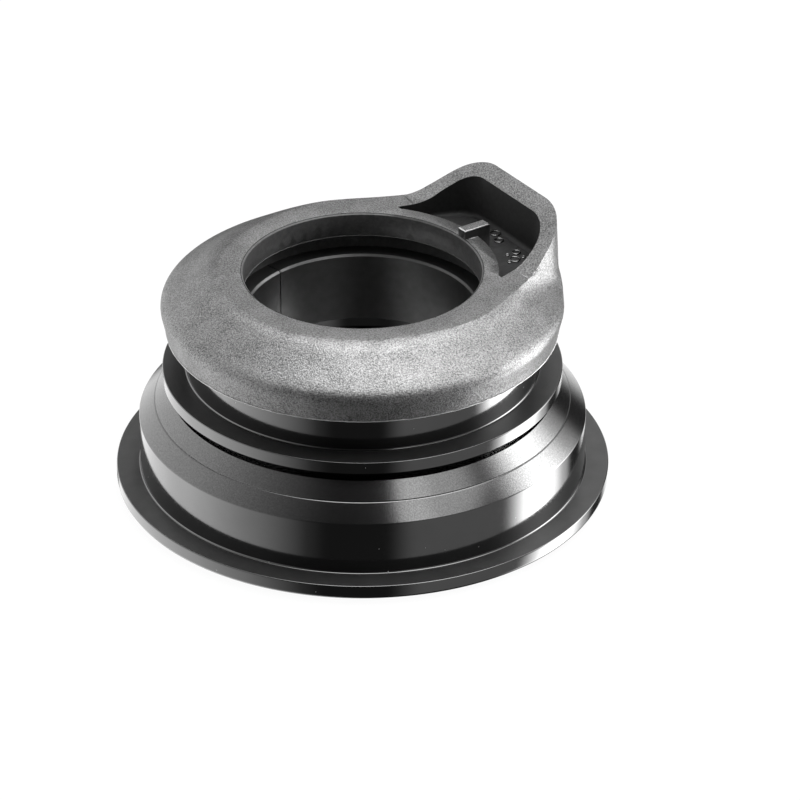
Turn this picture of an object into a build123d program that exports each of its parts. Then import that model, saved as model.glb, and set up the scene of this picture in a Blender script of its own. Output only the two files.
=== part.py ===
from build123d import *
import math
import os

# Bicycle headset: two cups, each with its angular contact bearing, the crown race below,
# the split compression ring and the top cover above. Millimetres, +Z up, with the origin
# on the steering axis, at the underside of the crown race.

# The tubes that the headset fits
steerer_d = 28.6
crown_seat_d = 39.8
head_tube_upper_d = 44.0
head_tube_lower_d = 56.0

# Running gaps and fits
race_seat_gap = 0.02
ball_gap = 0.05
pocket_gap = 0.10
lip_gap = 0.06
ring_lift_gap = 0.22
cup_nest_gap = 0.05

# Crown race
crown_reveal = 0.6
crown_race_r = 25.2
crown_plate = 1.0
crown_plate_edge = 0.25
crown_cone_foot = 0.8
crown_cone_land = 0.15

# Lower cup
lower_flange_reach = 3.0
lower_flange = 1.89
lower_fit_length = 6.87
flange_under_edge = 0.5
flange_top_edge = 0.15
foot_round = 0.25
cone_top_r = 24.16
cone_line_r = 26.05
cone_line_width = 0.16
cone_line_depth = 0.08
neck_r = 22.7
lower_seat_lip = 0.6
stack_height = 13.96

# Upper cup
upper_flange_reach = 2.94
upper_flange = 1.57
upper_mouth_rise = 0.25
upper_seat_lip = 0.7
upper_lip_height = 1.15
upper_spigot_wall = 1.8
spigot_length = 4.76
spigot_lead = 0.6
cup_edge = 0.15
mouth_lead = 0.3

# Bearings
upper_bearing_od = 41.8
upper_bearing_id = 30.15
upper_bearing_h = 6.5
upper_bearing_rise = 1.49
lower_bearing_od = 52.0
lower_bearing_id = 40.0
lower_bearing_h = 7.0
lower_bearing_bottom = 2.0
bearing_chamfer = 1.0
ball_d = 3.175
ball_spacing = 4.05
land_offset = 0.95
seal_seat_offset = 1.55
seal_seat_depth = 0.8
seal_thickness = 0.7
cage_wall = 1.2
cage_height = 4.3
pocket_cut = 3.6

# Compression ring
ring_wall = 0.7
ring_flange_r = 18.4
ring_flange = 0.65
ring_length = 9.18
ring_top_edge = 0.25
ring_slit = 0.25
ring_slit_angle = 136.0

# Top cover
cover_hole_r = 14.77
cover_rise = 5.62
cover_recess_r = 16.6
cover_recess = 2.49
cover_collar_r = 18.2
cover_lip_edge = 0.18
cover_flat_r = 18.7
cover_shoulder_r = 25.17
cover_shoulder_drop = 3.97
cover_shoulder_blend = 1.6
cover_side_blend = 0.2
cover_hem_r = 24.4
cover_hem_drop = 7.53
cover_hem_wall = 1.2
cover_roof = 3.94
cover_roof_corner = 1.7
cover_brow = 0.6
cover_brow_width = 1.1
cover_core_r = 10.0
dome_steps = 13
outline_step = 3

# Hood of the cover, before it is turned: u runs out along its axis and v across
hood_angle = 33.75
hood_slope = 31.5
hood_bend_u = 16.5
hood_bend_round = 6.0
hood_end_u = 24.4
hood_flank_d = 18.41
hood_flank_angle = 23.5
hood_left_round = 5.44
hood_right_round = 7.5
hood_reach_blend = 0.4
hood_draft = 2.5
hood_reach_r = 25.35
hood_spare = 0.3
hood_steps = 5
hood_blend = 2.4
hood_wall = 2.0
pocket_depth = 2.24
pocket_floor_round = 0.65
pocket_ring_wall = 2.05
pocket_knee_u = 18.7
pocket_knee_round = 5.0
pocket_tip_angle = 41.0
pocket_tip_width = 0.4
key_inner_u = 14.95
key_outer_u = 18.7
key_width = 1.5
key_rise = 1.15
key_edge = 0.12

# Rubber seals
cover_seal_rise = 0.7
cover_seal_height = 0.8
cover_seal_bite = 0.4
cover_seal_web = 0.5
cover_seal_drop = 0.2
cover_seal_lip = 0.5
crown_seal_inner_r = 22.8
crown_seal_height = 0.75
crown_seal_lip = 0.5

# Radii and heights worked out from the sizes above
steerer_r = steerer_d / 2
upper_fit_r = head_tube_upper_d / 2
lower_fit_r = head_tube_lower_d / 2
upper_flange_r = upper_fit_r + upper_flange_reach
lower_flange_r = lower_fit_r + lower_flange_reach
lower_bore_r = lower_bearing_od / 2 + race_seat_gap
upper_bore_r = upper_bearing_od / 2 + race_seat_gap
lower_flange_top = crown_reveal + lower_flange
lower_fit_top = lower_flange_top + lower_fit_length
stack_face = crown_reveal + stack_height
upper_flange_top = stack_face + upper_flange
upper_bearing_bottom = stack_face + upper_bearing_rise
upper_bearing_top = upper_bearing_bottom + upper_bearing_h
upper_mouth = upper_bearing_top + upper_mouth_rise
ring_underside = upper_bearing_top + ring_lift_gap
ring_face = ring_underside + ring_flange
cover_face = ring_face + cover_rise
cover_shoulder = cover_face - cover_shoulder_drop
cover_hem = cover_face - cover_hem_drop
cover_hem_inner_r = cover_hem_r - cover_hem_wall
cover_seal_bottom = cover_hem + cover_seal_rise
cover_seal_top = cover_seal_bottom + cover_seal_height
cover_seal_r = cover_hem_inner_r + cover_seal_bite
hood_top = cover_face + (hood_end_u - hood_bend_u) * math.tan(math.radians(hood_slope))
upward = (Align.CENTER, Align.CENTER, Align.MIN)


def turned(points, rounds=None):
    """A piece turned about the steering axis from its half section of (radius, height) points."""
    corners = [(radius, 0, height) for radius, height in points]
    if rounds is None:
        section = Polyline(*corners, close=True)
    else:
        section = FilletPolyline(*corners, radius=rounds, close=True)
    return revolve(make_face(section), Axis.Z)


def bearing(outer_d, inner_d, height, bottom, seat_down):
    """The pieces of one angular contact bearing, whose outer seat looks down or up."""
    outer_r = outer_d / 2
    inner_r = inner_d / 2
    pitch_r = (outer_r + inner_r) / 2
    top = bottom + height
    middle = bottom + height / 2
    outer_land = pitch_r + land_offset
    inner_land = pitch_r - land_offset
    seal_seat = pitch_r + seal_seat_offset
    low_edge = bearing_chamfer if seat_down else 0
    high_edge = bearing_chamfer - low_edge
    groove = revolve(Pos(pitch_r, 0, middle) * Rot(90, 0, 0) * Circle(ball_d / 2 + ball_gap), Axis.Z)
    spots = ball_spots(pitch_r, middle)

    outer_points = [(outer_land, bottom + seal_seat_depth), (seal_seat, bottom + seal_seat_depth),
                    (seal_seat, bottom), (outer_r - low_edge, bottom), (outer_r, bottom + low_edge),
                    (outer_r, top - high_edge), (outer_r - high_edge, top), (seal_seat, top),
                    (seal_seat, top - seal_seat_depth), (outer_land, top - seal_seat_depth)]
    inner_points = [(inner_land, bottom), (inner_land, top), (inner_r + low_edge, top),
                    (inner_r, top - low_edge), (inner_r, bottom + high_edge),
                    (inner_r + high_edge, bottom)]
    cage_inner = pitch_r - cage_wall / 2
    cage_outer = pitch_r + cage_wall / 2
    cage = turned([(cage_inner, middle - cage_height / 2), (cage_outer, middle - cage_height / 2),
                   (cage_outer, middle + cage_height / 2), (cage_inner, middle + cage_height / 2)])
    hole = Rot(0, 90, 0) * Cylinder(ball_d / 2 + pocket_gap, pocket_cut)

    return {
        "outer_race": turned(without_repeats(outer_points)) - groove,
        "inner_race": turned(without_repeats(inner_points)) - groove,
        "balls": Compound(children=[spot * Sphere(ball_d / 2) for spot in spots]),
        "ball_cage": cage - [spot * hole for spot in spots],
        "bearing_bottom_seal": flat_seal(inner_land, seal_seat, bottom + seal_seat_depth - seal_thickness),
        "bearing_top_seal": flat_seal(inner_land, seal_seat, top - seal_seat_depth),
    }


def without_repeats(points):
    """The points with each one left out that repeats the one before it."""
    return [point for number, point in enumerate(points) if point != points[number - 1]]


def ball_spots(pitch_r, middle):
    """The places of a bearing's balls, as many as their spacing lets in."""
    count = math.floor(2 * math.pi * pitch_r / ball_spacing)
    return [Rot(0, 0, 360 / count * number) * Pos(pitch_r, 0, middle) for number in range(count)]


def flat_seal(inner_land, seal_seat, low):
    """A bearing's flat seal, set in the outer race with its lip just clear of the inner one."""
    lip_r = inner_land + lip_gap
    return turned([(lip_r, low), (seal_seat, low), (seal_seat, low + seal_thickness),
                   (lip_r, low + seal_thickness)])


def lower_cup():
    """Cup with its flange down: press-fit wall, lined cone, and a neck that carries the upper cup."""
    cone_sum = lower_fit_top + lower_fit_r
    line_z = cone_sum - cone_line_r
    cone_top = cone_sum - cone_top_r
    seat_foot = lower_bearing_bottom + lower_bearing_h - bearing_chamfer - race_seat_gap
    seat_top_r = lower_bearing_od / 2 - bearing_chamfer - lower_seat_lip
    seat_top = seat_foot + lower_bore_r - seat_top_r
    nest_r = upper_fit_r + cup_nest_gap
    outside = [(lower_flange_r, crown_reveal), (lower_flange_r, lower_flange_top),
               (lower_fit_r, lower_flange_top), (lower_fit_r, lower_fit_top),
               (cone_line_r + cone_line_width / 2, line_z - cone_line_width / 2),
               (cone_line_r - cone_line_depth, line_z - cone_line_depth),
               (cone_line_r - cone_line_width / 2, line_z + cone_line_width / 2),
               (cone_top_r, cone_top), (neck_r, cone_top), (neck_r, stack_face)]
    inside = [(nest_r, stack_face), (nest_r, seat_top), (seat_top_r, seat_top),
              (lower_bore_r, seat_foot), (lower_bore_r, crown_reveal + mouth_lead),
              (lower_bore_r + mouth_lead, crown_reveal)]
    edges = [flange_under_edge, flange_top_edge, foot_round]
    sharp = [0] * (len(outside + inside) - len(edges))
    return turned(outside + inside, edges + sharp)


def upper_cup():
    """Cup with a housing wall above its flange and a press-fit spigot below it."""
    seat_foot = upper_bearing_bottom + bearing_chamfer + race_seat_gap
    lip_r = upper_bearing_od / 2 - bearing_chamfer - upper_seat_lip
    lip_top = seat_foot - upper_bore_r + lip_r
    lip_under = lip_top - upper_lip_height
    spigot_end = stack_face - spigot_length
    spigot_bore = upper_fit_r - upper_spigot_wall
    outside = [(upper_flange_r, stack_face), (upper_flange_r, upper_flange_top),
               (upper_fit_r, upper_flange_top), (upper_fit_r, upper_mouth)]
    inside = [(upper_bore_r + mouth_lead, upper_mouth), (upper_bore_r, upper_mouth - mouth_lead),
              (upper_bore_r, seat_foot), (lip_r, lip_top), (lip_r, lip_under),
              (spigot_bore, lip_under - spigot_bore + lip_r), (spigot_bore, spigot_end),
              (upper_fit_r - spigot_lead, spigot_end), (upper_fit_r, spigot_end + spigot_lead),
              (upper_fit_r, stack_face)]
    edges = [cup_edge, cup_edge, foot_round, cup_edge]
    return turned(outside + inside, edges + [0] * len(inside))


def crown_race():
    """Ring with a cone that carries the lower bearing's inner race."""
    bore = crown_seat_d / 2
    cone_sum = lower_bearing_id / 2 + bearing_chamfer + lower_bearing_bottom
    cone_low = crown_plate + crown_cone_foot
    land_r = bore + crown_cone_land
    return turned([(bore, 0), (crown_race_r - crown_plate_edge, 0), (crown_race_r, crown_plate_edge),
                   (crown_race_r, crown_plate), (cone_sum - cone_low + crown_cone_foot / 2, crown_plate),
                   (cone_sum - cone_low, cone_low), (land_r, cone_sum - land_r),
                   (bore, cone_sum - land_r)])


def crown_seal():
    """Rubber lip on the crown race that wipes the lower cup's bore."""
    lip_r = lower_bore_r - lip_gap
    top = crown_plate + crown_seal_height
    return turned([(crown_seal_inner_r, crown_plate), (crown_race_r, crown_plate),
                   (lip_r, top - crown_seal_lip), (lip_r, top), (crown_seal_inner_r, top)])


def compression_ring():
    """Split ring: a thin sleeve down the bearing, a cone on its inner race and a flange on top."""
    sleeve_r = steerer_r + ring_wall
    foot = ring_face - ring_length
    cone_rise = upper_bearing_top - upper_bearing_id / 2 - bearing_chamfer
    ring = turned([(steerer_r, foot), (sleeve_r, foot), (sleeve_r, sleeve_r + cone_rise),
                   (ring_underside - cone_rise, ring_underside), (ring_flange_r, ring_underside),
                   (ring_flange_r, ring_face), (steerer_r + ring_top_edge, ring_face),
                   (steerer_r, ring_face - ring_top_edge)])
    along = (Align.MIN, Align.CENTER, Align.CENTER)
    cutter = Box(2 * ring_flange_r, ring_slit, 2 * ring_length, align=along)
    return ring - Rot(0, 0, ring_slit_angle) * Pos(0, 0, ring_face) * cutter


def soft_max(a, b, blend):
    """The larger of two values, with a round change from one to the other."""
    near = max(blend - abs(a - b), 0) / blend
    return max(a, b) + near * near * blend / 4


def soft_min(a, b, blend):
    """The smaller of two values, with a round change from one to the other."""
    return -soft_max(-a, -b, blend)


def cover_side_r(z):
    """Radius of the cover's side, which opens a little from the hem to the shoulder."""
    opening = (cover_shoulder_r - cover_hem_r) / (cover_hem_drop - cover_shoulder_drop)
    return cover_shoulder_r + (z - cover_shoulder) * opening


def cover_dome_r(z):
    """Radius of the cover's round body: its side, its sloping shoulder and the brow of its top."""
    fall = (cover_shoulder_r - cover_flat_r) / cover_shoulder_drop
    slope_r = cover_flat_r + (cover_face - z) * fall
    brow = max(1 - (cover_face - z) / cover_brow, 0)
    return soft_min(cover_side_r(z), slope_r, cover_shoulder_blend) - cover_brow_width * brow * brow


def hood_plan_r(angle, z):
    """Radius of the hood's plan at an angle from its axis: two flanks and an end, joined by arcs."""
    grow = (hood_top - z) * math.tan(math.radians(hood_draft))
    corner = hood_left_round if angle > 0 else hood_right_round
    lean = math.radians(hood_flank_angle)
    end_u = hood_end_u + grow
    flank_d = hood_flank_d + grow
    centre_u = end_u - corner
    centre_v = (flank_d - corner - centre_u * math.sin(lean)) / math.cos(lean)
    turn = abs(angle)
    if turn < math.atan2(centre_v, end_u):
        radius = end_u / math.cos(turn)
    elif turn < math.atan2(centre_v + corner * math.cos(lean), centre_u + corner * math.sin(lean)):
        along = centre_u * math.cos(turn) + centre_v * math.sin(turn)
        radius = along + math.sqrt(along ** 2 + corner ** 2 - centre_u ** 2 - centre_v ** 2)
    else:
        past = turn - math.pi / 2 + lean
        radius = flank_d * math.cos(past) if past > 0 else flank_d / math.cos(past)
    return min(radius, soft_min(cover_side_r(z), hood_reach_r, hood_reach_blend))


def cover_plan(z):
    """The cover's outline at one height, dome and hood in one smooth line."""
    points = []
    for degree in range(-180, 180, outline_step):
        angle = math.radians(degree)
        dome_r = max(cover_dome_r(z), cover_core_r)
        radius = soft_max(dome_r, hood_plan_r(angle, z), hood_blend)
        radius = soft_min(radius, cover_side_r(z), cover_side_blend)
        points.append((radius * math.cos(angle), radius * math.sin(angle), z))
    return make_face(Spline(*points, periodic=True))


def cover_body():
    """The solid of dome and hood, lofted through its outlines and cut along its top and rim."""
    levels = [cover_hem + cover_hem_drop * step / dome_steps for step in range(dome_steps)]
    rise = hood_top + hood_spare - cover_face
    levels += [cover_face + rise * step / hood_steps for step in range(hood_steps + 1)]
    body = loft([cover_plan(z) for z in levels])
    far = 2 * cover_shoulder_r
    rim_end = cover_face + (far - hood_bend_u) * math.tan(math.radians(hood_slope))
    rim = [(-far, 0, cover_face), (hood_bend_u, 0, cover_face), (far, 0, rim_end),
           (far, 0, rim_end + far), (-far, 0, rim_end + far)]
    above = make_face(FilletPolyline(*rim, radius=[0, hood_bend_round, 0, 0, 0], close=True))
    flat = Pos(0, 0, cover_face) * Cylinder(cover_hole_r + pocket_ring_wall, far, align=upward)
    return body - extrude(above, far, both=True) - flat


def pocket():
    """The space inside the hood, between its wall and the ring round the cover's hole."""
    flank = math.radians(hood_flank_angle)
    inner_d = hood_flank_d - hood_wall
    ring_r = cover_hole_r + pocket_ring_wall
    end_u = hood_end_u - hood_wall
    knee = (pocket_knee_u, (inner_d - pocket_knee_u * math.sin(flank)) / math.cos(flank))
    corner = (end_u, (inner_d - end_u * math.sin(flank)) / math.cos(flank))
    tip_angle = math.radians(pocket_tip_angle)
    tip_r = ring_r + pocket_tip_width
    tip = (tip_r * math.cos(tip_angle), tip_r * math.sin(tip_angle))
    floor = cover_face - pocket_depth
    half = [(u, v, floor) for u, v in (tip, knee, corner)]
    other = [(u, -v, floor) for u, v in (corner, knee, tip)]
    rounds = [0, pocket_knee_round, hood_left_round - hood_wall]
    rounds += [hood_right_round - hood_wall, pocket_knee_round, 0]
    outline = FilletPolyline(*half, *other, radius=rounds, close=True)
    height = hood_top + hood_spare - floor
    space = extrude(make_face(outline), height)
    space = fillet(space.edges().group_by(Axis.Z)[0], pocket_floor_round)
    return space - Pos(0, 0, floor) * Cylinder(ring_r, height, align=upward)


def key():
    """The square key that stands on the ring and reaches down to the pocket's floor."""
    floor = cover_face - pocket_depth
    block = Box(key_outer_u - key_inner_u, key_width, cover_face + key_rise - floor,
                align=(Align.MIN, Align.CENTER, Align.MIN))
    block = chamfer(block.edges().group_by(Axis.Z)[-1], key_edge)
    return Pos(key_inner_u, 0, floor) * block


def cover_inside():
    """The space under the cover: hem, roof, collar, recess and hole, with the seal's groove."""
    below = cover_hem - cover_hem_wall
    above = cover_face + cover_hem_wall
    roof = cover_face - cover_roof
    lip = cover_face - cover_lip_edge
    space = turned([(0, below), (cover_hem_inner_r, below), (cover_hem_inner_r, roof - cover_roof_corner),
                    (cover_hem_inner_r - cover_roof_corner, roof), (cover_collar_r, roof),
                    (cover_collar_r, ring_face), (cover_recess_r, ring_face),
                    (cover_recess_r, ring_face + cover_recess), (cover_hole_r, ring_face + cover_recess),
                    (cover_hole_r, lip), (cover_hole_r + cover_lip_edge, cover_face),
                    (cover_hole_r + cover_lip_edge, above), (0, above)])
    groove = turned([(0, cover_seal_bottom), (cover_seal_r, cover_seal_bottom),
                     (cover_seal_r, cover_seal_top), (0, cover_seal_top)])
    return space + groove


def top_cover():
    """Moulded cover: a round shell with its hood, pocket and key, turned to the hood's side."""
    cover = cover_body() - pocket() + key() - cover_inside()
    return Rot(0, 0, hood_angle) * cover


def cover_seal():
    """Rubber ring in the cover's groove, whose lip wipes the upper cup's wall."""
    lip_r = upper_fit_r + lip_gap
    web_r = cover_hem_inner_r - cover_seal_web
    lip_low = cover_seal_bottom - cover_seal_drop
    return turned([(cover_seal_r, cover_seal_bottom), (cover_seal_r, cover_seal_top),
                   (web_r, cover_seal_top), (lip_r, lip_low + cover_seal_lip), (lip_r, lip_low),
                   (web_r, cover_seal_bottom)])


upper_bearing = bearing(upper_bearing_od, upper_bearing_id, upper_bearing_h, upper_bearing_bottom, True)
lower_bearing = bearing(lower_bearing_od, lower_bearing_id, lower_bearing_h, lower_bearing_bottom, False)
parts = {
    "top_cover": top_cover(),
    "cover_seal": cover_seal(),
    "compression_ring": compression_ring(),
    "upper_cup": upper_cup(),
    "lower_cup": lower_cup(),
    "crown_race": crown_race(),
    "crown_seal": crown_seal(),
}
parts.update({"upper_" + name: piece for name, piece in upper_bearing.items()})
parts.update({"lower_" + name: piece for name, piece in lower_bearing.items()})

os.makedirs("parts", exist_ok=True)
for name, piece in parts.items():
    export_step(piece, f"parts/{name}.step")
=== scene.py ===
import math

import bmesh
import bpy
from mathutils import Matrix, Vector


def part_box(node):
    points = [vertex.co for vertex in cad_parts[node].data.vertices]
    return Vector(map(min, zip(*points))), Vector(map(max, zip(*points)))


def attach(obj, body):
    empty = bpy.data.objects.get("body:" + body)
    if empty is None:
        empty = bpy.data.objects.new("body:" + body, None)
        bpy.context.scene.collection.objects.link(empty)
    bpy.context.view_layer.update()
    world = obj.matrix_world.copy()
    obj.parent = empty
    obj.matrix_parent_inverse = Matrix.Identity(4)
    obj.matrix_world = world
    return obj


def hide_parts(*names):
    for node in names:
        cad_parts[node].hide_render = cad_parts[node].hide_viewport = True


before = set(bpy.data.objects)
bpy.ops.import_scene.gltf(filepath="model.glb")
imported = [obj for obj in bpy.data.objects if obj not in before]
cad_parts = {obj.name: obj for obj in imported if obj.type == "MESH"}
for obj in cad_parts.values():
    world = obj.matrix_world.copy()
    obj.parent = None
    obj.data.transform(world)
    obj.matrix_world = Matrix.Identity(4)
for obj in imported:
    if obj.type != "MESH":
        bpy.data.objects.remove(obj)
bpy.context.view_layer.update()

# The looks of a bicycle headset: polished and blasted black cups, a satin split ring in the bore
# and a grainy moulded top cover, seen from a little above. Metres; half sections are in millimetres.
mm = 0.001

# Heights and radii in millimetres, the same as in the solids
lower_flange_r = 31.0
lower_fit_r = 28.0
cone_top_r = 24.16
neck_r = 22.7
lower_flange_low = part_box("lower_cup")[0][2] / mm
lower_flange_high = 2.49
lower_wall_top = 9.36
lower_cone_top = lower_wall_top + lower_fit_r - cone_top_r
stack_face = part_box("lower_cup")[1][2] / mm
upper_flange_r = 24.94
upper_fit_r = 22.0
upper_flange_high = 16.13
upper_wall_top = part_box("upper_cup")[1][2] / mm
steerer_r = 14.3
ring_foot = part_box("compression_ring")[0][2] / mm
ring_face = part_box("compression_ring")[1][2] / mm
ring_underside = 22.77
slit_angle = 136.0
cover_face = 29.04
cover_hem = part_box("top_cover")[0][2] / mm
hem_r = 24.4
hole_r = 14.77
recess_r = 16.6
recess_top = ring_face + 2.49
pocket_floor = cover_face - 2.24
pocket_floor_round = 0.65
hood_angle = 33.75

# The ring's slit as it looks, narrower than the cut in its solid
slit_width = 0.07

# Rounded edges of the turned pieces, in millimetres
fine_edge = 0.1
top_edge = 0.15
foot_round = 0.25

# How finely a turned piece is divided, and the angle in degrees past which an edge is sharp
turn_steps = 288
edge_segments = 4
sharp_angle = 27

# The slack for telling faces apart by their height or radius, in millimetres
hair = 0.01


# Mesh helpers


def finish_mesh(name, bm, materials, body, replaced):
    """Makes the object of a finished piece and ties it to its body, its finish and its solids."""
    mesh = bpy.data.meshes.new(name)
    bm.to_mesh(mesh)
    bm.free()
    for material in materials:
        mesh.materials.append(material)
    mesh.shade_smooth()
    mesh.set_sharp_from_angle(angle=math.radians(sharp_angle))
    piece = bpy.data.objects.new(name, mesh)
    bpy.context.scene.collection.objects.link(piece)
    weighted = piece.modifiers.new("even_faces", "WEIGHTED_NORMAL")
    weighted.keep_sharp = True
    weighted.weight = 80
    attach(piece, body)
    if replaced:
        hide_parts(*replaced)
    return piece


def round_corners(bm, corners):
    """Bevels the turned edges at each corner that has an edge size."""
    for radius, height, edge_size in corners:
        if not edge_size:
            continue
        near = [edge for edge in bm.edges if on_circle(edge, radius * mm, height * mm)]
        bmesh.ops.bevel(bm, geom=near, offset=edge_size * mm, offset_type="OFFSET", affect="EDGES",
                        segments=edge_segments, profile=0.5, material=-1, clamp_overlap=True)


def on_circle(edge, radius, height):
    """Whether an edge lies along the circle of that radius and height, in metres."""
    slack = 2e-6
    return all(abs(v.co.xy.length - radius) < slack and abs(v.co.z - height) < slack for v in edge.verts)


def turned(corners):
    """A full turn of a closed half section, given as (radius, height, edge size) corners."""
    bm = bmesh.new()
    verts = [bm.verts.new((radius * mm, 0, height * mm)) for radius, height, edge_size in corners]
    edges = [bm.edges.new(pair) for pair in zip(verts, verts[1:] + verts[:1])]
    bmesh.ops.spin(bm, geom=verts + edges, cent=(0, 0, 0), axis=(0, 0, 1), angle=2 * math.pi,
                   steps=turn_steps, use_merge=True)
    bmesh.ops.remove_doubles(bm, verts=bm.verts, dist=1e-7)
    bmesh.ops.recalc_face_normals(bm, faces=bm.faces)
    round_corners(bm, corners)
    return bm


def paint_band(bm, low, high, inner_r, number):
    """Gives the faces between two heights, outside a radius, the numbered material."""
    for face in bm.faces:
        middle = face.calc_center_median()
        if low * mm < middle.z < high * mm and middle.xy.length > inner_r * mm:
            face.material_index = number


# Node helpers


def start_material(name):
    """A new node material and its Principled shader."""
    material = bpy.data.materials.new(name)
    material.use_nodes = True
    nodes = material.node_tree.nodes
    return material, nodes, material.node_tree.links, nodes["Principled BSDF"]


def grain(nodes, links, size, detail=2.0, roughness=0.5):
    """Noise on the piece's own coordinates, with features of about that size in millimetres."""
    place = nodes.new("ShaderNodeTexCoord")
    noise = nodes.new("ShaderNodeTexNoise")
    noise.inputs["Scale"].default_value = 1 / (size * mm)
    noise.inputs["Detail"].default_value = detail
    noise.inputs["Roughness"].default_value = roughness
    links.new(place.outputs["Object"], noise.inputs["Vector"])
    return noise.outputs["Fac"]


def spread(nodes, links, value, low, high, to_low, to_high):
    """Maps a value from one range to another, kept within it."""
    scale = nodes.new("ShaderNodeMapRange")
    for label, number in (("From Min", low), ("From Max", high), ("To Min", to_low), ("To Max", to_high)):
        scale.inputs[label].default_value = number
    links.new(value, scale.inputs["Value"])
    return scale.outputs["Result"]


def reckon(nodes, links, kind, first, second=0.0):
    """One Math node of that kind on one or two values, each a socket or a number."""
    node = nodes.new("ShaderNodeMath")
    node.operation = kind
    for number, value in enumerate((first, second)):
        if isinstance(value, (int, float)):
            node.inputs[number].default_value = value
        else:
            links.new(value, node.inputs[number])
    return node.outputs[0]


def raise_surface(nodes, links, shader, height, depth):
    """Bumps the shader's surface by a height from 0 to 1 over that depth in millimetres."""
    bump = nodes.new("ShaderNodeBump")
    bump.inputs["Strength"].default_value = 1.0
    bump.inputs["Distance"].default_value = depth * mm
    links.new(height, bump.inputs["Height"])
    links.new(bump.outputs["Normal"], shader.inputs["Normal"])


def grey(level):
    """The opaque grey of that level."""
    return (level, level, level, 1.0)


def tint(nodes, links, value, dark, light):
    """A grey between two levels, chosen by a value from 0 to 1."""
    ramp = nodes.new("ShaderNodeValToRGB")
    ramp.color_ramp.elements[0].color = grey(dark)
    ramp.color_ramp.elements[1].color = grey(light)
    links.new(value, ramp.inputs["Fac"])
    return ramp.outputs["Color"]


# Materials


def dust(nodes, links):
    """1 on a few tiny specks, 0 elsewhere. A cell's size is in millimetres, a speck's is its share."""
    cell_size, speck_share = 1.9, 0.035
    place = nodes.new("ShaderNodeTexCoord")
    cells = nodes.new("ShaderNodeTexVoronoi")
    cells.inputs["Scale"].default_value = 1 / (cell_size * mm)
    links.new(place.outputs["Object"], cells.inputs["Vector"])
    return reckon(nodes, links, "LESS_THAN", cells.outputs["Distance"], speck_share)


def polished_anodising():
    """Black anodised aluminium, turned bright, with faint clouding, fine marks and a little dust."""
    material, nodes, links, shader = start_material("polished_anodising")
    shader.inputs["Metallic"].default_value = 1.0
    darkest, lightest, speck_light = 0.115, 0.145, 0.3
    smoothest, roughest, speck_blur = 0.08, 0.15, 0.5
    cloud = grain(nodes, links, size=6.0, detail=3.0)
    specks = dust(nodes, links)
    level = reckon(nodes, links, "ADD", spread(nodes, links, cloud, 0.0, 1.0, darkest, lightest),
                   reckon(nodes, links, "MULTIPLY", specks, speck_light))
    links.new(tint(nodes, links, level, dark=0.0, light=1.0), shader.inputs["Base Color"])
    fine = grain(nodes, links, size=0.5, detail=4.0, roughness=0.7)
    blur = reckon(nodes, links, "ADD", spread(nodes, links, fine, 0.35, 0.75, smoothest, roughest),
                  reckon(nodes, links, "MULTIPLY", specks, speck_blur))
    links.new(blur, shader.inputs["Roughness"])
    return material


def turned_anodising():
    """Black anodised aluminium as the lathe left it: the flanges' top faces, with fine rings."""
    material, nodes, links, shader = start_material("turned_anodising")
    shader.inputs["Metallic"].default_value = 0.85
    shader.inputs["Roughness"].default_value = 0.42
    cloud = grain(nodes, links, size=2.5, detail=3.0)
    links.new(tint(nodes, links, cloud, dark=0.06, light=0.09), shader.inputs["Base Color"])
    ring_size = 1.2
    place = nodes.new("ShaderNodeTexCoord")
    rings = nodes.new("ShaderNodeTexWave")
    rings.wave_type = "RINGS"
    rings.rings_direction = "Z"
    rings.inputs["Scale"].default_value = 1 / (ring_size * mm)
    rings.inputs["Distortion"].default_value = 0.3
    links.new(place.outputs["Object"], rings.inputs["Vector"])
    raise_surface(nodes, links, shader, rings.outputs["Fac"], depth=0.0015)
    return material


def blasted_anodising():
    """Black anodised aluminium with a bead-blasted sparkle, as on the cone."""
    material, nodes, links, shader = start_material("blasted_anodising")
    shader.inputs["Metallic"].default_value = 1.0
    shader.inputs["Roughness"].default_value = 0.16
    speck = grain(nodes, links, size=0.15, detail=2.0, roughness=0.8)
    level = spread(nodes, links, speck, 0.38, 0.72, 0.0, 1.0)
    links.new(tint(nodes, links, level, dark=0.11, light=0.175), shader.inputs["Base Color"])
    raise_surface(nodes, links, shader, speck, depth=0.0035)
    return material


def satin_anodising():
    """The split ring's finish: black anodised with turning lines left in."""
    material, nodes, links, shader = start_material("satin_anodising")
    shader.inputs["Metallic"].default_value = 0.85
    shader.inputs["Roughness"].default_value = 0.36
    cloud = grain(nodes, links, size=1.2, detail=3.0)
    links.new(tint(nodes, links, cloud, dark=0.065, light=0.10), shader.inputs["Base Color"])
    line_size = 0.5
    place = nodes.new("ShaderNodeTexCoord")
    lines = nodes.new("ShaderNodeTexWave")
    lines.bands_direction = "Z"
    lines.inputs["Scale"].default_value = 1 / (line_size * mm)
    lines.inputs["Distortion"].default_value = 1.0
    links.new(place.outputs["Object"], lines.inputs["Vector"])
    raise_surface(nodes, links, shader, lines.outputs["Fac"], depth=0.002)
    return material


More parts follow.
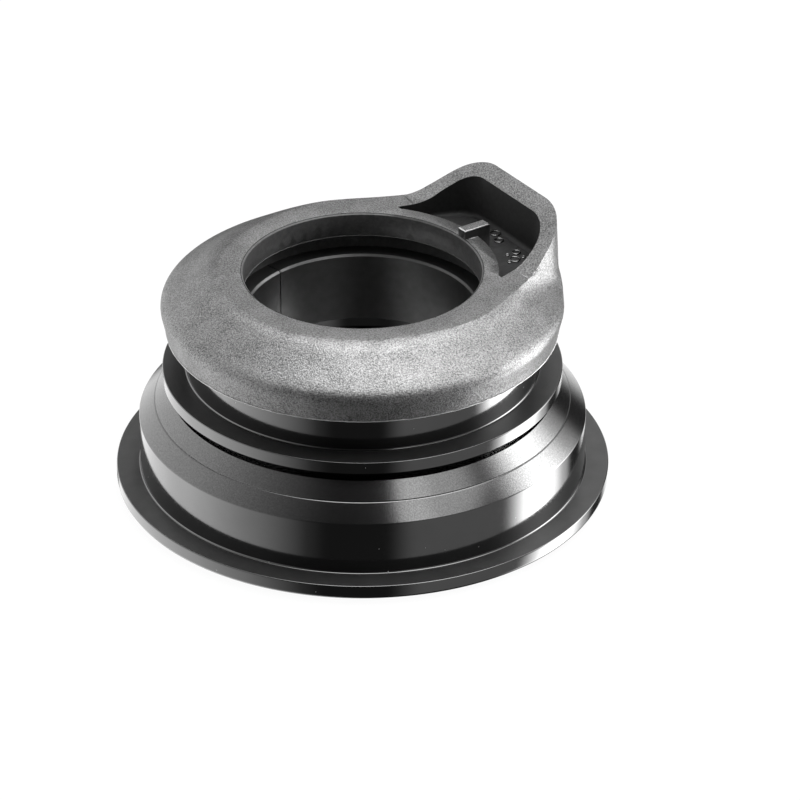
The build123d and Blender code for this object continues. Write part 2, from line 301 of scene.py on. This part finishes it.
def grainy_plastic():
    """Black glass-filled plastic with a spark texture, whose fine facets glitter like dark metal."""
    material, nodes, links, shader = start_material("grainy_plastic")
    shader.inputs["Metallic"].default_value = 0.75
    shader.inputs["Roughness"].default_value = 0.36
    shader.inputs["Specular Tint"].default_value = grey(0.6)
    cloud_share = 0.2
    facets = grain(nodes, links, size=0.19, detail=2.0, roughness=0.7)
    cloud = reckon(nodes, links, "MULTIPLY", grain(nodes, links, size=3.0, detail=2.0), cloud_share)
    level = spread(nodes, links, reckon(nodes, links, "ADD", facets, cloud), 0.42, 0.76, 0.0, 1.0)
    links.new(tint(nodes, links, level, dark=0.07, light=0.30), shader.inputs["Base Color"])
    raise_surface(nodes, links, shader, facets, depth=0.05)
    return material


def smooth_plastic(name, dark, light, roughness, depth):
    """The same plastic where the mould was left smoother: in the pocket, the hole and the recess. The grey
    levels of its copies also carry painted light: raised in the hole and the recess, where shade falls, and
    lowered as painted shade on the pocket's walls.
    """
    material, nodes, links, shader = start_material(name)
    cloud = grain(nodes, links, size=0.6, detail=4.0, roughness=0.65)
    links.new(tint(nodes, links, cloud, dark, light), shader.inputs["Base Color"])
    shader.inputs["Roughness"].default_value = roughness
    shader.inputs["Specular IOR Level"].default_value = 0.3
    raise_surface(nodes, links, shader, grain(nodes, links, size=0.25, detail=3.0, roughness=0.6), depth)
    return material


def seal_rubber():
    """Black moulded rubber of the lips and seals."""
    material, nodes, links, shader = start_material("seal_rubber")
    cloud = grain(nodes, links, size=1.5, detail=3.0)
    links.new(tint(nodes, links, cloud, dark=0.012, light=0.03), shader.inputs["Base Color"])
    shader.inputs["Roughness"].default_value = 0.55
    raise_surface(nodes, links, shader, grain(nodes, links, size=0.12), depth=0.004)
    return material


def ground_steel(name, dark, light, roughness):
    """Ground steel, a little clouded. On the cover the same bright metal paints highlights along the key's
    edge and the hem's flash.
    """
    material, nodes, links, shader = start_material(name)
    shader.inputs["Metallic"].default_value = 1.0
    cloud = grain(nodes, links, size=2.0, detail=4.0)
    links.new(tint(nodes, links, cloud, dark, light), shader.inputs["Base Color"])
    shader.inputs["Roughness"].default_value = roughness
    raise_surface(nodes, links, shader, grain(nodes, links, size=0.2, detail=4.0), depth=0.001)
    return material


def cage_nylon():
    """Natural nylon of the ball cages."""
    material, nodes, links, shader = start_material("cage_nylon")
    cloud = grain(nodes, links, size=1.0, detail=3.0)
    ramp = nodes.new("ShaderNodeValToRGB")
    ramp.color_ramp.elements[0].color = (0.52, 0.48, 0.38, 1.0)
    ramp.color_ramp.elements[1].color = (0.66, 0.62, 0.52, 1.0)
    links.new(cloud, ramp.inputs["Fac"])
    links.new(ramp.outputs["Color"], shader.inputs["Base Color"])
    shader.inputs["Roughness"].default_value = 0.5
    return material


# Pieces


def build_lower_cup(polished, blasted, lathed):
    """The lower cup: flange at its foot, press-fit wall, lined cone and neck."""
    under_edge, neck_edge = 0.5, 0.05
    line_r, line_width, line_depth = 26.05, 0.18, 0.09
    line_height = lower_wall_top + lower_fit_r - line_r
    # Inside, where nothing shows: the upper cup's nest, the bearing's seat and bore, and the mouth
    nest_r, nest_foot = 22.05, 12.39
    seat_r, seat_top, bore_r, bore_top = 24.4, 10.01, 26.02, 8.4
    mouth_r, mouth_top = 26.32, 0.9
    corners = [
        (lower_flange_r, lower_flange_low, under_edge), (lower_flange_r, lower_flange_high, top_edge),
        (lower_fit_r, lower_flange_high, foot_round), (lower_fit_r, lower_wall_top, fine_edge),
        (line_r + line_width / 2, line_height - line_width / 2, 0),
        (line_r - line_depth, line_height - line_depth / 3, 0),
        (line_r - line_width / 2, line_height + line_width / 2, 0),
        (cone_top_r, lower_cone_top, 0), (neck_r, lower_cone_top, 0),
        (neck_r, stack_face, neck_edge), (nest_r, stack_face, neck_edge), (nest_r, nest_foot, 0),
        (seat_r, seat_top, 0), (bore_r, bore_top, 0), (bore_r, mouth_top, 0), (mouth_r, lower_flange_low, 0),
    ]
    bm = turned(corners)
    paint_band(bm, lower_wall_top, lower_cone_top, cone_top_r - hair, 1)
    paint_band(bm, lower_flange_high - hair, lower_flange_high + hair, lower_fit_r, 2)
    finish_mesh("lower_cup_turned", bm, [polished, blasted, lathed], "cups", ["lower_cup"])


def build_upper_cup(polished, lathed):
    """The upper cup: flange, housing wall above it and spigot below."""
    # Inside: the bearing's mouth, bore and lip, and the spigot's bore and lead
    mouth_r, bore_r, bore_top, bore_foot = 21.22, 20.92, 22.5, 17.07
    lip_r, lip_top, lip_under = 19.2, 15.35, 14.2
    spigot_bore, spigot_foot, spigot_lead = 20.2, 9.8, 0.6
    corners = [
        (upper_flange_r, stack_face, fine_edge), (upper_flange_r, upper_flange_high, top_edge),
        (upper_fit_r, upper_flange_high, foot_round), (upper_fit_r, upper_wall_top, top_edge),
        (mouth_r, upper_wall_top, 0), (bore_r, bore_top, 0), (bore_r, bore_foot, 0),
        (lip_r, lip_top, 0), (lip_r, lip_under, 0), (spigot_bore, lip_under + lip_r - spigot_bore, 0),
        (spigot_bore, spigot_foot, 0), (upper_fit_r - spigot_lead, spigot_foot, 0),
        (upper_fit_r, spigot_foot + spigot_lead, 0), (upper_fit_r, stack_face, fine_edge),
    ]
    bm = turned(corners)
    paint_band(bm, upper_flange_high - hair, upper_flange_high + hair, upper_fit_r, 1)
    finish_mesh("upper_cup_turned", bm, [polished, lathed], "cups", ["upper_cup"])


def build_split_ring(satin):
    """The compression ring: a thin sleeve, a 45 degree cone and a flange, parted by its slit."""
    sleeve_r, cone_r, flange_r, mouth_edge, end_edge = 15.0, 16.295, 18.4, 0.25, 0.05
    corners = [
        (steerer_r, ring_foot), (sleeve_r, ring_foot), (sleeve_r, ring_underside + sleeve_r - cone_r),
        (cone_r, ring_underside), (flange_r, ring_underside), (flange_r, ring_face),
        (steerer_r + mouth_edge, ring_face), (steerer_r, ring_face - mouth_edge),
    ]
    slit_middle_r = 14.7
    gap = slit_width / slit_middle_r
    bm = bmesh.new()
    verts = [bm.verts.new((radius * mm, 0, height * mm)) for radius, height in corners]
    bm.faces.new(verts)
    start = Matrix.Rotation(math.radians(slit_angle) + gap / 2, 4, "Z")
    bmesh.ops.transform(bm, matrix=start, verts=bm.verts)
    bmesh.ops.spin(bm, geom=bm.verts[:] + bm.edges[:] + bm.faces[:], cent=(0, 0, 0), axis=(0, 0, 1),
                   angle=2 * math.pi - gap, steps=turn_steps, use_merge=False)
    bmesh.ops.recalc_face_normals(bm, faces=bm.faces)
    ends = [edge for edge in bm.edges if len(edge.link_faces) == 2 and any(
        len(face.verts) == len(corners) for face in edge.link_faces)]
    bmesh.ops.bevel(bm, geom=ends, offset=end_edge * mm, offset_type="OFFSET", affect="EDGES",
                    segments=2, profile=0.5, material=-1, clamp_overlap=True)
    finish_mesh("split_ring", bm, [satin], "steerer_side", ["compression_ring"])


def build_cover(finishes):
    """The moulded cover, from a merged copy of its solid, with its smoother places inside."""
    bm = bmesh.new()
    bm.from_mesh(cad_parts["top_cover"].data)
    bmesh.ops.remove_doubles(bm, verts=bm.verts, dist=2e-7)
    bmesh.ops.dissolve_degenerate(bm, dist=1e-5, edges=bm.edges)
    bmesh.ops.recalc_face_normals(bm, faces=bm.faces)
    for face in bm.faces:
        face.material_index = cover_region(face)
    finish_mesh("moulded_cover", bm, finishes, "steerer_side", ["top_cover"])


def cover_region(face):
    """A face's finish: 0 grainy, 1 hole wall and lip, 2 recess, 3 pocket wall, 4 floor, 5 key edge."""
    lip_reach, wall_slack = 0.2, 0.05
    key_inner, key_outer, key_half = 14.9, 18.8, 0.8
    middle = face.calc_center_median() / mm
    radius, height = middle.xy.length, middle.z
    along = middle.xy.dot(Matrix.Rotation(math.radians(hood_angle), 2) @ Vector((1, 0)))
    sloped, upright = 0.6 < face.normal.z < 0.8, abs(face.normal.z) < 0.005
    on_key = key_inner < along < key_outer and radius ** 2 - along ** 2 < key_half ** 2
    inward = face.normal.xy.dot(middle.xy) < 0
    if sloped and radius < hole_r + lip_reach and height > cover_face - lip_reach:
        return 1
    if sloped and on_key and height > cover_face:
        return 5
    if upright and radius < hole_r + wall_slack:
        return 1
    if radius < recess_r + wall_slack and height < recess_top + hair:
        return 2
    if upright and radius > hole_r + wall_slack and height > pocket_floor:
        return 3
    if inward and pocket_floor < height < pocket_floor + pocket_floor_round:
        return 3
    if face.normal.z > 0.99 and abs(height - pocket_floor) < hair:
        return 4
    return 0


def bead(bm, centre, radius, tube, wander=0.0, around=turn_steps):
    """Adds a thin ring to a mesh, in millimetres. Wander lets its height and size vary along it."""
    sides = 8
    slow, quick, quickest, quickest_share = 11, 37, 83, 0.6
    earlier = set(bm.verts)
    upright = Matrix.Translation((radius * mm, 0, 0)) @ Matrix.Rotation(math.pi / 2, 4, "X")
    hoop = bmesh.ops.create_circle(bm, segments=sides, radius=tube * mm, matrix=upright)["verts"]
    hoop_edges = [edge for edge in bm.edges if edge.verts[0] in hoop]
    bmesh.ops.spin(bm, geom=hoop + hoop_edges, cent=(0, 0, 0), axis=(0, 0, 1), angle=2 * math.pi,
                   steps=around, use_merge=True)
    for vert in bm.verts:
        if vert in earlier:
            continue
        turn = math.atan2(vert.co.y, vert.co.x)
        stray = wander * (math.sin(quick * turn) * math.sin(slow * turn + 1)
                          + quickest_share * math.sin(quickest * turn + 2))
        middle = Vector((math.cos(turn), math.sin(turn), 0)) * radius * mm
        grown = (vert.co - middle) * (1 + stray / tube / 2)
        vert.co = centre * mm + middle + grown + Vector((0, 0, stray * mm))


def build_mould_lines(bright, faint, dark):
    """Fine lines along the cover's edges: flash at the hem, whose near-white metal is a painted highlight,
    flash below the hole's wall, and a near-black ring at the hole's lip that is a painted shadow line.

    Each has its height, radius, thickness and wander in millimetres, and its steps around.
    """
    # The hem's flash is a real ridge; its near-white metal finish is a painted highlight.
    lines = (("hem_flash", bright, cover_hem + 0.04, hem_r + 0.01, 0.05, 0.018, 720),
             ("hole_flash", faint, recess_top + 0.03, hole_r + 0.01, 0.04, 0.012, turn_steps),
             # The ring at the hole's lip is near black: a painted shadow line where the lip's edge leaves
             # shade.
             ("lip_shadow_line", dark, cover_face - 0.02, hole_r + 0.21, 0.05, 0.003, turn_steps))
    for name, material, height, radius, tube, wander, around in lines:
        bm = bmesh.new()
        bead(bm, Vector((0, 0, height)), radius, tube, wander, around)
        bmesh.ops.recalc_face_normals(bm, faces=bm.faces)
        finish_mesh(name, bm, [material], "steerer_side", None)


def build_pocket_marks(glossy):
    """Plain raised rings on the pocket's floor, as mould makers leave them."""
    tube, rise, around = 0.11, 0.03, 48
    bm = bmesh.new()
    hood_turn = Matrix.Rotation(math.radians(hood_angle), 3, "Z")
    for along, across, radius in ((21.5, 1.9, 0.62), (20.75, 0.1, 0.55), (20.7, -3.7, 0.5),
                                  (19.5, -5.1, 0.62), (18.5, -5.3, 0.2), (20.7, -5.2, 0.2),
                                  (19.4, -3.6, 0.2)):
        bead(bm, hood_turn @ Vector((along, across, pocket_floor + rise)), radius, tube, around=around)
    bmesh.ops.recalc_face_normals(bm, faces=bm.faces)
    finish_mesh("pocket_marks", bm, [glossy], "steerer_side", None)


def dress_solids(finishes):
    """Gives the solids that stay as they are their finishes."""
    for name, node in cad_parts.items():
        for ending, material in finishes.items():
            if name.endswith(ending):
                node.data.materials.clear()
                node.data.materials.append(material)


# Camera, light and floor


def swing(first, second, angle):
    """Two perpendicular directions, turned together so that the first leans to the second."""
    return (first * math.cos(angle) + second * math.sin(angle),
            second * math.cos(angle) - first * math.sin(angle))


def place_camera():
    """The camera at the photo's place: 31 degrees above, far off, with a long lens."""
    distance, elevation, lift = 0.5454, math.radians(31.01), 0.6 * mm
    yaw, pitch, roll = math.radians(0.497), math.radians(0.891), math.radians(-0.14)
    focal_pixels, frame_pixels, sensor = 4311.2, 800, 36.0
    place = Vector((0, -distance * math.cos(elevation), distance * math.sin(elevation)))
    ahead = -place.normalized()
    right = Vector((1, 0, 0))
    up = right.cross(ahead)
    ahead, right = swing(ahead, right, yaw)
    ahead, up = swing(ahead, up, pitch)
    right, up = swing(right, up, roll)
    lens = bpy.data.cameras.new("camera")
    lens.sensor_width = sensor
    lens.lens = focal_pixels / frame_pixels * sensor
    lens.clip_start = 0.01
    camera = bpy.data.objects.new("camera", lens)
    turn = Matrix((right, up, -ahead)).transposed().to_4x4()
    camera.matrix_world = Matrix.Translation(place + Vector((0, 0, lift))) @ turn
    bpy.context.scene.collection.objects.link(camera)
    bpy.context.scene.camera = camera


# The studio's soft panels: azimuth from the front towards the right, elevation, half width and
# half height, softness of the edge, all in degrees, and brightness
panels = {
    "right_strip": (102, -5, 14, 43, 12, 10.5),
    "right_shoulder": (124, -5, 8, 40, 5, 1.6),
    "right_back": (166, -5, 12, 40, 7, 1.3),
    "right_front": (52, -15, 32, 40, 9, 0.42),
    "upper_right": (61, 55, 37, 9, 2, 1.9),
    "upper_edge": (35, 57, 11, 8, 2, 0.9),
    "high_back_right": (140, 42, 18, 14, 7, 1.0),
}


def light_studio():
    """The world: white to the camera, soft panels round the object to everything else."""
    base_glow = 0.05
    world = bpy.data.worlds.new("studio")
    bpy.context.scene.world = world
    world.use_nodes = True
    nodes, links = world.node_tree.nodes, world.node_tree.links
    nodes.clear()
    place = nodes.new("ShaderNodeTexCoord")
    split = nodes.new("ShaderNodeSeparateXYZ")
    links.new(place.outputs["Generated"], split.inputs["Vector"])
    to_front = reckon(nodes, links, "MULTIPLY", split.outputs["Y"], -1.0)
    azimuth = reckon(nodes, links, "ARCTAN2", split.outputs["X"], to_front)
    elevation = reckon(nodes, links, "ARCSINE", split.outputs["Z"])
    total = left_wall(nodes, links, azimuth, elevation)
    for values in panels.values():
        total = reckon(nodes, links, "ADD", total, panel(nodes, links, azimuth, elevation, values))
    total = reckon(nodes, links, "ADD", total, overhead_panel(nodes, links, split))
    total = reckon(nodes, links, "ADD", total, base_glow)
    path = nodes.new("ShaderNodeLightPath")
    seen = nodes.new("ShaderNodeMix")
    links.new(path.outputs["Is Camera Ray"], seen.inputs["Factor"])
    links.new(total, seen.inputs["A"])
    seen.inputs["B"].default_value = 1.0
    background = nodes.new("ShaderNodeBackground")
    output = nodes.new("ShaderNodeOutputWorld")
    links.new(seen.outputs["Result"], background.inputs["Strength"])
    links.new(background.outputs["Background"], output.inputs["Surface"])
    background.inputs["Color"].default_value = grey(1.0)


def soft_edge(nodes, links, angle, middle, half, soft):
    """1 within half of the middle, falling to 0 over the soft edge. Angles in degrees."""
    away = reckon(nodes, links, "SUBTRACT", angle, math.radians(middle))
    away = reckon(nodes, links, "ABSOLUTE", away)
    step = nodes.new("ShaderNodeMapRange")
    step.interpolation_type = "SMOOTHSTEP"
    step.inputs["From Min"].default_value = math.radians(half + soft)
    step.inputs["From Max"].default_value = math.radians(half - soft)
    links.new(away, step.inputs["Value"])
    return step.outputs["Result"]


def panel(nodes, links, azimuth, elevation, values):
    """One soft panel of the studio."""
    middle, height, half_width, half_height, soft, brightness = values
    across = soft_edge(nodes, links, azimuth, middle, half_width, soft)
    upward = soft_edge(nodes, links, elevation, height, half_height, soft)
    both = reckon(nodes, links, "MULTIPLY", across, upward)
    return reckon(nodes, links, "MULTIPLY", both, brightness)


def overhead_panel(nodes, links, direction):
    """The soft panel overhead, set a little to the right and back. Tilts are angles from straight up."""
    brightness = 6.2
    to_right = reckon(nodes, links, "ARCTAN2", direction.outputs["X"], direction.outputs["Z"])
    to_back = reckon(nodes, links, "ARCTAN2", direction.outputs["Y"], direction.outputs["Z"])
    across = soft_edge(nodes, links, to_right, middle=6, half=20, soft=13)
    along = soft_edge(nodes, links, to_back, middle=12, half=25, soft=8)
    both = reckon(nodes, links, "MULTIPLY", across, along)
    return reckon(nodes, links, "MULTIPLY", both, brightness)


def left_wall(nodes, links, azimuth, elevation):
    """The big white wall at the left, brighter towards the back and dimmer towards the top."""
    front, bright_from, bright_to, back = (math.radians(angle) for angle in (-29, -100, -125, -160))
    low, high = math.radians(-5), math.radians(65)
    dimmest, brightest, back_share, top_share = 0.1, 2.25, 0.7, 0.2
    rise = spread(nodes, links, azimuth, front, bright_from, dimmest, brightest)
    fall = spread(nodes, links, azimuth, bright_to, back, 1.0, back_share)
    level = reckon(nodes, links, "MULTIPLY", rise, fall)
    across = soft_edge(nodes, links, azimuth, middle=-94, half=70, soft=6)
    upward = spread(nodes, links, elevation, low, high, 1.0, top_share)
    both = reckon(nodes, links, "MULTIPLY", across, upward)
    return reckon(nodes, links, "MULTIPLY", both, level)


def lay_floor():
    """A pale floor, which keeps a faint shadow and lets the studio show in polished metal."""
    floor_r, matt_level, glow_strength, glow_share = 3.0, 0.35, 1.09, 0.88
    bm = bmesh.new()
    bmesh.ops.create_circle(bm, cap_ends=True, segments=64, radius=floor_r)
    mesh = bpy.data.meshes.new("floor")
    bm.to_mesh(mesh)
    bm.free()
    material = bpy.data.materials.new("floor_white")
    material.use_nodes = True
    nodes, links = material.node_tree.nodes, material.node_tree.links
    nodes.clear()
    path = nodes.new("ShaderNodeLightPath")
    matt = nodes.new("ShaderNodeBsdfDiffuse")
    matt.inputs["Color"].default_value = grey(matt_level)
    glow = nodes.new("ShaderNodeEmission")
    glow.inputs["Color"].default_value = grey(1.0)
    glow.inputs["Strength"].default_value = glow_strength
    clear = nodes.new("ShaderNodeBsdfTransparent")
    seen = nodes.new("ShaderNodeMixShader")
    mirrored = nodes.new("ShaderNodeMixShader")
    share = reckon(nodes, links, "MULTIPLY", path.outputs["Is Camera Ray"], glow_share)
    links.new(share, seen.inputs["Fac"])
    links.new(matt.outputs["BSDF"], seen.inputs[1])
    links.new(glow.outputs["Emission"], seen.inputs[2])
    links.new(path.outputs["Is Glossy Ray"], mirrored.inputs["Fac"])
    links.new(seen.outputs["Shader"], mirrored.inputs[1])
    links.new(clear.outputs["BSDF"], mirrored.inputs[2])
    output = nodes.new("ShaderNodeOutputMaterial")
    links.new(mirrored.outputs["Shader"], output.inputs["Surface"])
    mesh.materials.append(material)
    floor = bpy.data.objects.new("floor", mesh)
    bpy.context.scene.collection.objects.link(floor)


# The finishes, and then the pieces that wear them
polished = polished_anodising()
blasted = blasted_anodising()
satin = satin_anodising()
cover_finishes = [
    grainy_plastic(),
    # The hole's and the recess's greys are raised as painted light against their shade; the pocket walls'
    # grey is lowered as painted shade.
    smooth_plastic("hole_plastic_painted_light", dark=0.03, light=0.12, roughness=0.42, depth=0.014),
    smooth_plastic("recess_plastic_painted_light", dark=0.06, light=0.16, roughness=0.6, depth=0.008),
    smooth_plastic("pocket_wall_plastic_painted_shade", dark=0.006, light=0.03, roughness=0.55, depth=0.008),
    smooth_plastic("pocket_floor_plastic", dark=0.008, light=0.06, roughness=0.36, depth=0.03),
    # The key's chamfered edge: bright metal as a painted highlight.
    ground_steel("key_edge_highlight", dark=0.55, light=0.75, roughness=0.45),
]
rubber = seal_rubber()
race = ground_steel("race_steel", dark=0.08, light=0.12, roughness=0.25)
balls = ground_steel("ball_steel", dark=0.62, light=0.72, roughness=0.06)
lathed = turned_anodising()
build_lower_cup(polished, blasted, lathed)
build_upper_cup(polished, lathed)
build_split_ring(satin)
build_cover(cover_finishes)
build_mould_lines(ground_steel("hem_flash_highlight", dark=0.3, light=1.0, roughness=0.6),
                  smooth_plastic("hole_line_plastic", dark=0.1, light=0.2, roughness=0.4, depth=0.0),
                  smooth_plastic("lip_shadow_plastic", dark=0.002, light=0.004, roughness=0.8, depth=0.0))
build_pocket_marks(ground_steel("mark_plastic", dark=0.08, light=0.18, roughness=0.25))
dress_solids({"_race": race, "_balls": balls, "_cage": cage_nylon(), "_seal": rubber})
place_camera()
light_studio()
lay_floor()
bpy.context.scene.view_settings.view_transform = "Standard"
